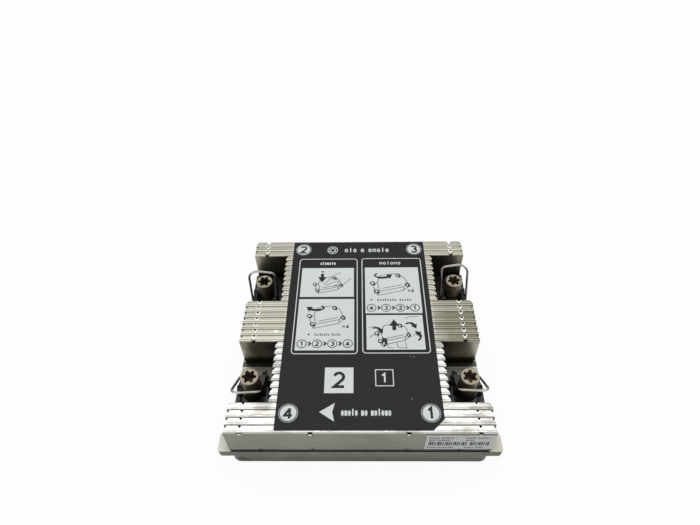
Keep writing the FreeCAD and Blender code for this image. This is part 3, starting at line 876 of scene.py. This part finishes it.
def press_and_lift(ink):
    """The drawings of pressing down and of lifting off, with the hands' outlines."""
    block(ink, -15.2, 74.4, 0.95, straight_arrow(-17.8, 76.0, -90, 5.6, 1.5, 3.4))
    ink.dark.append(box_shape(-18.6, -17.0, 82.6, 83.2))
    block(ink, 14.6, 45.6, 1.05, straight_arrow(15.8, 53.9, 90, 6.0, 1.7, 3.6))
    for x, y, start, stop in (
        (7.4, 47.0, 120, 20),
        (9.4, 41.2, -60, 40),
        (22.6, 49.6, 130, 20),
        (24.8, 44.4, -60, 50),
    ):
        ink.dark += turn_arrow(x, y, 2.4, 2.2, start, stop, 1.3, 2.4)
    for stroke in (
        ((-17.0, 74.6), (-14.4, 77.8), (-12.0, 80.6), (-8.9, 82.5)),
        ((-16.2, 73.9), (-13.2, 75.8), (-10.4, 76.9), (-9.5, 75.7), (-12.6, 73.4)),
        ((-11.0, 73.6), (-7.2, 74.8), (-3.9, 78.6)),
        ((-13.2, 78.9), (-10.6, 77.8)),
        ((4.4, 49.3), (7.2, 50.0), (9.6, 48.6)),
        ((4.6, 44.0), (6.6, 45.6), (9.0, 45.0)),
        ((20.8, 54.5), (23.4, 55.4), (27.0, 55.4)),
        ((23.8, 45.0), (26.0, 46.4), (27.6, 46.2)),
        ((16.5, 41.7), (16.9, 38.9), (20.8, 38.4), (20.4, 41.4)),
        ((12.2, 41.4), (12.6, 38.8), (15.2, 38.5)),
    ):
        ink.grey.append(ribbon(stroke, 0.30))


def turning(ink):
    """The drawings of turning the nuts, with a count, a line of words and the order of the nuts."""
    block(ink, -15.4, 55.2, 1.15, turn_arrow(-19.6, 60.6, 3.4, 1.3, 50, -155, 1.25, 2.6))
    block(ink, 14.6, 74.6, 1.25, turn_arrow(11.4, 80.4, 3.6, 1.5, 130, 335, 1.25, 2.6))
    for x, y in ((-6.0, 50.0), (24.8, 70.7)):
        ink.dark.append(ribbon([(x - 1.4, y - 0.5), (x - 0.4, y + 0.5)], 0.3))
        ink.dark.append(ribbon([(x - 1.4, y + 0.5), (x - 0.4, y - 0.5)], 0.3))
        ink.dark += digit(4, x + 0.8, y, 1.9, 0.36)
    for x, y, left, right in ((-22.4, 45.7, -20.0, -8.0), (5.8, 65.2, 8.5, 24.8)):
        ink.dark.append(disc(x, y, 0.45, 12))
        ink.grey += words(left, right, y, 1.3, (8, 5))
    ink.dark += sequence((1, 2, 3, 4), -25.2, -5.0, 40.85)
    ink.dark += sequence((4, 3, 2, 1), 5.85, 25.9, 60.48)


def dust(ink):
    """Three pale specks of dust on the label."""
    for x, y, radius in ((23.3, 34.0, 0.17), (21.9, 34.4, 0.12), (21.1, 14.4, 0.15)):
        ink.light.append(disc(x, y, radius, 8))


def print_top_label(light, grey, dark, rings):
    """Lays the print on the top label, each layer a little above the one before."""
    start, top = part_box("fin_01")[0].y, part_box("instruction_label")[1].z

    def on_top(x, y, level):
        return (x, start + y, top + level)

    ink = LabelPrint()
    for draw in (corner_discs, panels, head_line, front_marks, press_and_lift, turning, dust):
        draw(ink)
    flat_piece("label_print_light", ink.light, light, LAYER, on_top)
    flat_piece("label_print_grey", ink.grey, grey, 2 * LAYER, on_top)
    flat_piece("label_print_dark", ink.dark, dark, 3 * LAYER, on_top)
    flat_piece("label_print_rings", ink.rings, rings, LAYER, on_top)


def side_label_shapes():
    """The small label's print, from its top left corner: four rows of words and a row of bars."""
    shapes = []
    for left, right, y, letters in (
        (1.3, 10.8, -2.3, (6, 7)),
        (15.6, 24.8, -2.3, (5, 6)),
        (1.3, 9.8, -4.3, (4, 8)),
        (15.6, 19.0, -4.3, (5,)),
        (1.0, 11.6, -10.9, (5, 9)),
        (15.6, 23.6, -10.9, (6, 5)),
    ):
        shapes += words(left, right, y, 1.15, letters)
    x = 1.3
    end, low, high = 25.0, -9.0, -5.9
    bar, left_out = 0, 19
    while x < end:
        wide = 0.22 + 0.17 * ((bar * 7) % 4)
        if bar != left_out:
            shapes.append(box_shape(x, x + wide, low, high))
        x += wide + 0.20 + 0.09 * ((bar * 5) % 4)
        bar += 1
    return shapes


def print_side_label(dark):
    """Lays the print on the small label at the front."""
    low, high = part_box("side_label")

    def on_front(x, y, level):
        return (low.x + x, low.y - level, high.z + y)

    flat_piece("side_label_print", side_label_shapes(), dark, LAYER, on_front)


# The interlocks' small marks


def interlock_lips(nickel):
    """The pressed lips on the long rows, bright with a painted highlight. They stand higher towards the back.
    """
    low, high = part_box("fin_01")
    foot, half, half_top = 0.02 * MM, 1.2 * MM, 0.78 * MM
    bend, length = 1.12 * MM, 1.85 * MM
    lips = []
    for row in range(ROW_COUNT):
        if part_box(f"fin_{row + 1:02d}")[1].x < high.x - MM:
            continue
        edge = low.y + (row + 1) * FIN_PITCH - 0.08 * MM
        rise = (0.06 if row < FRONT_ROWS else 0.20 if row < MIDDLE_ROWS_END else 0.30) * MM
        for middle in LOCK_PLACES:
            for side in (-1, 1):
                points = (
                    (middle + side * half, edge, high.z + foot),
                    (middle + side * half_top, edge, high.z + rise),
                    (middle, edge - bend, high.z + 0.5 * rise),
                    (middle, edge - length, high.z + foot),
                )
                lips.append(points if side < 0 else points[::-1])
    piece_of("interlock_lips", lips, nickel, "root")


def strip_between(place, half, first, second):
    """A strip of sheet between two lines that run across, each given by its Y and Z."""
    left, right = place - half, place + half
    return ((left, *first), (right, *first), (right, *second), (left, *second))


def bridge_dimples(sheet):
    """Strips of sheet that close the left outer dimple and the back parts of the open cuts."""
    low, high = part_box("fin_01")
    upright, flat = [(-0.02, -1.3), (-0.02, -0.75)], [(0.75, 0.01), (1.45, 0.01)]
    bend = upright + [(0.06, -0.42), (0.22, -0.20), (0.48, -0.04)] + flat
    points = [(low.y + y * MM, high.z + z * MM) for y, z in bend]
    strips = [strip_between(LOCK_PLACES[0], 1.2 * MM, *pair) for pair in zip(points, points[1:])]
    cuts = [(0, -INNER_LOCK), (0, INNER_LOCK), (0, LOCK_PLACES[1])]
    cuts += [(row, place) for row in WALL_ROWS for place in LOCK_PLACES]
    for row, place in cuts:
        start = low.y + row * FIN_PITCH
        for near, far in ((0.62, 1.1), (1.1, 1.9)):
            first = (start + near * MM, high.z + 0.008 * MM)
            second = (start + far * MM, high.z + 0.012 * MM)
            strips.append(strip_between(place, 1.0 * MM, first, second))
    piece_of("dimple_bridge", strips, sheet, "root")


def oval(x, y, wide, high, count=20):
    """A filled oval, given by its half sizes."""
    return [arc(x, y, wide, high, 0, 360, count)[:-1]]


def press_dimples(nickel, sheet, shadow):
    """The lens-shaped dimples at the front sheet's top and foot, drawn as dark rims of painted shade with
    bright faces of painted highlight at the top, and the two cuts at the back edge, drawn dark as painted
    shade.
    """
    low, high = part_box("fin_01")
    inner, foot, outer = INNER_LOCK / MM, FOOT_LOCK / MM, LOCK_PLACES[1] / MM

    def on_sheet(x, y, level):
        return (x, low.y - level, high.z + y)

    def on_fins(x, y, level):
        return (x, low.y + y, high.z + level)

    rims = [ribbon(arc(-outer, -0.95, 1.42, 0.85, 10, 170), 0.30), oval(-outer, -1.75, 0.85, 0.34)]
    faces = [oval(-outer, -1.05, 1.02, 0.42)]
    for x in (-inner, inner, outer):
        rims.append(oval(x, -1.25, 1.15, 0.95))
        faces.append(oval(x, -1.35, 0.78, 0.50))
    flat_piece("dimple_rims", rims, shadow, 2 * LAYER, on_sheet)
    flat_piece("dimple_faces", faces, nickel, 3 * LAYER, on_sheet)
    cuts = [oval(x, 103.35, 0.85, 0.42, 16) for x in (-inner, inner)]
    flat_piece("back_cuts", cuts, shadow, LAYER, on_fins)

    # the foot's dimples show as small arches of painted shade above the dark line of painted shadow
    places = (-foot, -inner, inner, foot)
    arches = [[arc(x, -15.0, 1.15, 0.85, 0, 180)] for x in places]
    flat_piece("foot_dimples", arches, shadow, LAYER, on_sheet)
    arches = [[arc(x, -15.15, 0.75, 0.60, 0, 180)] for x in places]
    flat_piece("foot_dimple_faces", arches, sheet, 2 * LAYER, on_sheet)


# The studio


def place_camera():
    """The camera that took the photograph."""
    pitch, yaw, roll = (math.radians(angle) for angle in (CAMERA_PITCH, CAMERA_YAW, CAMERA_ROLL))
    ahead = Vector((math.sin(yaw) * math.cos(pitch), math.cos(yaw) * math.cos(pitch), -math.sin(pitch)))
    level = Vector((math.cos(yaw), -math.sin(yaw), 0))
    upright = level.cross(ahead)
    right = math.cos(roll) * level + math.sin(roll) * upright
    up = -math.sin(roll) * level + math.cos(roll) * upright
    data = bpy.data.cameras.new("camera")
    data.lens = CAMERA_LENS
    data.sensor_width = 36.0
    data.clip_start, data.clip_end = 0.01, 50.0
    camera = bpy.data.objects.new("camera", data)
    bpy.context.scene.collection.objects.link(camera)
    turned = Matrix((right, up, -ahead)).transposed().to_4x4()
    camera.matrix_world = Matrix.Translation(Vector(CAMERA_PLACE)) @ turned
    bpy.context.scene.camera = camera


def soft_box(name, place, wide, high, radiance):
    """A soft lamp that shines from one place towards the part."""
    data = bpy.data.lights.new(name, "AREA")
    data.shape = "RECTANGLE"
    data.size, data.size_y = wide, high
    data.energy = radiance * math.pi * wide * high
    lamp = bpy.data.objects.new(name, data)
    bpy.context.scene.collection.objects.link(lamp)
    lamp.location = place
    lamp.rotation_euler = (-Vector(place)).to_track_quat("-Z", "Y").to_euler()


def background(tree, colour, strength):
    """A light of one colour from all round."""
    return add(tree, "ShaderNodeBackground", {"Color": colour, "Strength": strength}).outputs[0]


def mix_shaders(tree, share, first, second):
    """A shader between two others."""
    return add(tree, "ShaderNodeMixShader", {0: share, 1: first, 2: second}).outputs[0]


def light_studio():
    """A white studio: even light from all round, a darker ceiling in mirrored rays, and soft boxes."""
    world = bpy.data.worlds.new("studio")
    bpy.context.scene.world = world
    world.use_nodes = True
    tree = world.node_tree
    tree.nodes.clear()
    path = add(tree, "ShaderNodeLightPath").outputs
    direction = add(tree, "ShaderNodeTexCoord").outputs["Generated"]
    height = add(tree, "ShaderNodeSeparateXYZ", {0: direction}).outputs[2]
    even = background(tree, (0.96, 0.98, 1.0, 1), 0.74)
    mirrored = background(tree, WHITE, ramp(tree, height, 0.45, 0.85, 1.0, 0.42))
    seen = higher(tree, path["Is Glossy Ray"], path["Is Transmission Ray"])
    mixed = mix_shaders(tree, seen, even, mirrored)
    mixed = mix_shaders(tree, path["Is Camera Ray"], mixed, background(tree, WHITE, 1.0))
    add(tree, "ShaderNodeOutputWorld", {"Surface": mixed})

    soft_box("key", (0.0, 0.26, 0.88), 1.1, 0.44, 1.42)
    soft_box("left", (-0.75, -0.15, 0.45), 0.25, 0.5, 1.9)
    soft_box("right", (0.75, -0.1, 0.45), 0.25, 0.5, 1.9)


def floor_white():
    """A matt white that keeps a soft shadow near the part and goes over into the background farther out."""
    material, tree, shader = new_material("floor")
    path = add(tree, "ShaderNodeLightPath").outputs
    place = place_in_part(tree)[0]
    tone = ramp(tree, noise(tree, place, 0.4, 2.0), 0.3, 0.7, 0.90, 0.92)
    grey = add(tree, "ShaderNodeCombineColor", {0: tone, 1: tone, 2: tone}).outputs[0]
    matt = add(tree, "ShaderNodeBsdfDiffuse", {"Color": grey}).outputs[0]
    lit = add(tree, "ShaderNodeEmission", {"Color": WHITE, "Strength": 1.0}).outputs[0]
    mirrored = higher(tree, path["Is Glossy Ray"], path["Is Transmission Ray"])
    distance = add(tree, "ShaderNodeVectorMath", {0: place}, operation="LENGTH").outputs["Value"]
    seen = product(tree, path["Is Camera Ray"], ramp(tree, distance, 0.1, 1.0, 0.92, 1.0))
    share = higher(tree, product(tree, mirrored, 0.60), seen)
    connect(tree, tree.nodes["Material Output"].inputs["Surface"], mix_shaders(tree, share, matt, lit))
    tree.nodes.remove(shader)
    return material


def lay_floor():
    """The pale floor, just under the part."""
    reach = 4.0
    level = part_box("base_plate")[0].z - 0.05 * MM
    corners = [(-reach, -reach, level), (reach, -reach, level), (reach, reach, level), (-reach, reach, level)]
    mesh = bpy.data.meshes.new("floor")
    mesh.from_pydata(corners, [], [(0, 1, 2, 3)])
    mesh.materials.append(floor_white())
    floor = bpy.data.objects.new("floor", mesh)
    bpy.context.scene.collection.objects.link(floor)


def dress_nodes(nodes):
    """Gives every CAD node its material, by the first word of its name."""
    kinds = {
        "fin": fin_nickel(),
        "base": base_nickel(),
        "nut": nut_bronze(),
        "retainer": black_plastic(),
        "tilt": wire_steel(),
        "instruction": film("label_film", LABEL_FILM, grain=0.3 * MM),
        "side": film("side_label_film", SIDE_LABEL_FILM, roughness=0.55),
    }
    for name, node in nodes.items():
        node.data.materials.clear()
        node.data.materials.append(kinds[name.split("_")[0]])


def main():
    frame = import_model()
    bpy.context.scene.view_settings.view_transform = "Standard"
    dress_nodes(frame["nodes"])
    dark = film("dark_ink", DARK_INK)
    light = film("light_ink", LIGHT_INK)
    grey = film("grey_ink", GREY_INK)
    print_top_label(light, grey, dark, film("ring_ink", RING_INK))
    print_side_label(dark)
    sheet = frame["nodes"]["fin_01"].data.materials[0]
    lips = lock_highlight_nickel()
    interlock_lips(lips)
    bridge_dimples(sheet)
    press_dimples(lips, sheet, dark)
    light_studio()
    lay_floor()
    place_camera()


main()
